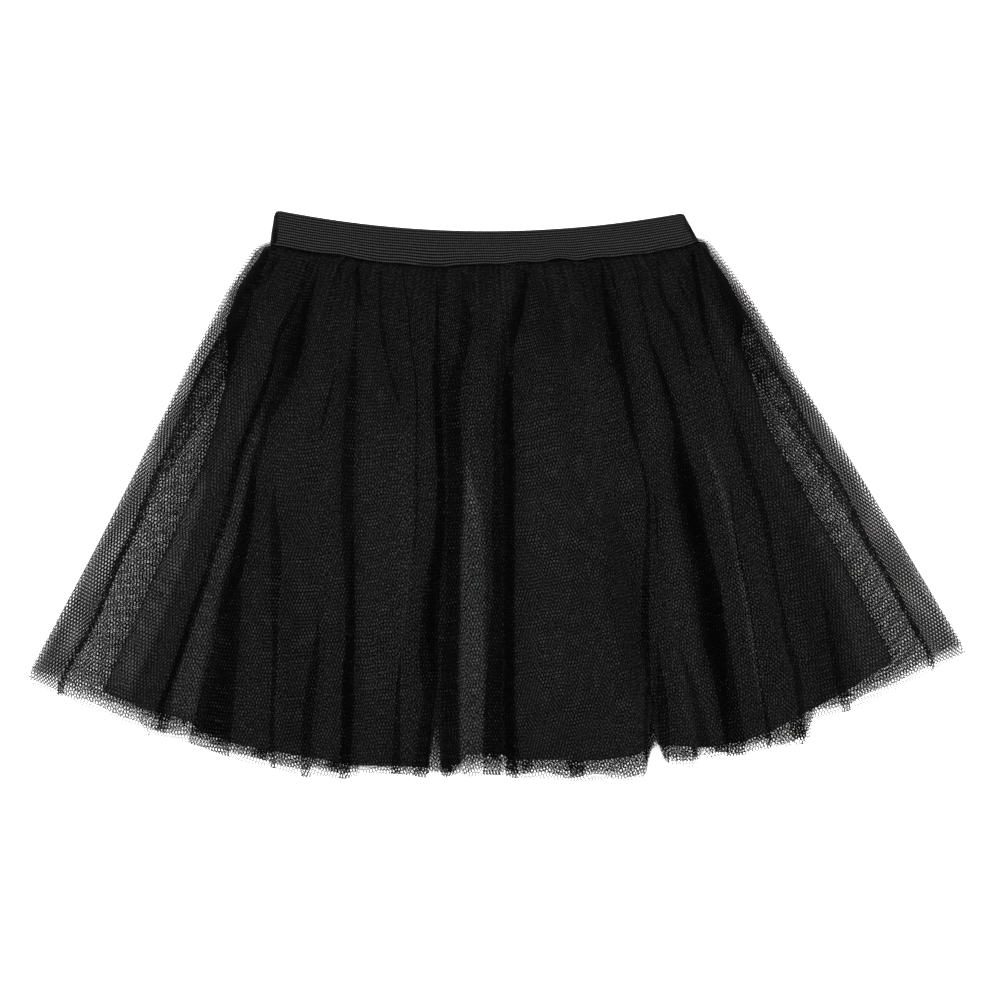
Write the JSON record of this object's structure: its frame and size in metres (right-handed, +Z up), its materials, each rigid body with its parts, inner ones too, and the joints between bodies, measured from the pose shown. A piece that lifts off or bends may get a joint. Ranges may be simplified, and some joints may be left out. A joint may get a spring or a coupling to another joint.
{
  "type": "tulle skirt",
  "caption": "Child's gathered tulle skirt lying flat: ribbed elastic waistband, layered sheer net with long uneven folds and a shorter A-line under layer.",
  "frame": {"origin": "centre of the bounding box in X and Y, on the surface that the skirt lies on", "axes": "+X across the skirt towards the right as its front is seen, +Y from hem to waist, +Z up from the surface, out of the skirt's front"},
  "size_m": [0.5724, 0.3489, 0.0157],
  "materials": {
    "waistband": "matt ribbed elastic",
    "outer_tulle": "slightly glossy fine net, see-through",
    "second_tulle": "slightly glossy fine net, see-through",
    "under_front": "matt plain cloth",
    "under_back": "matt plain cloth"
  },
  "bodies": {
    "root": {"waistband": "waistband", "outer_tulle": "outer_tulle", "second_tulle": "second_tulle", "under_front": "under_front", "under_back": "under_back"}
  },
  "joints": []
}
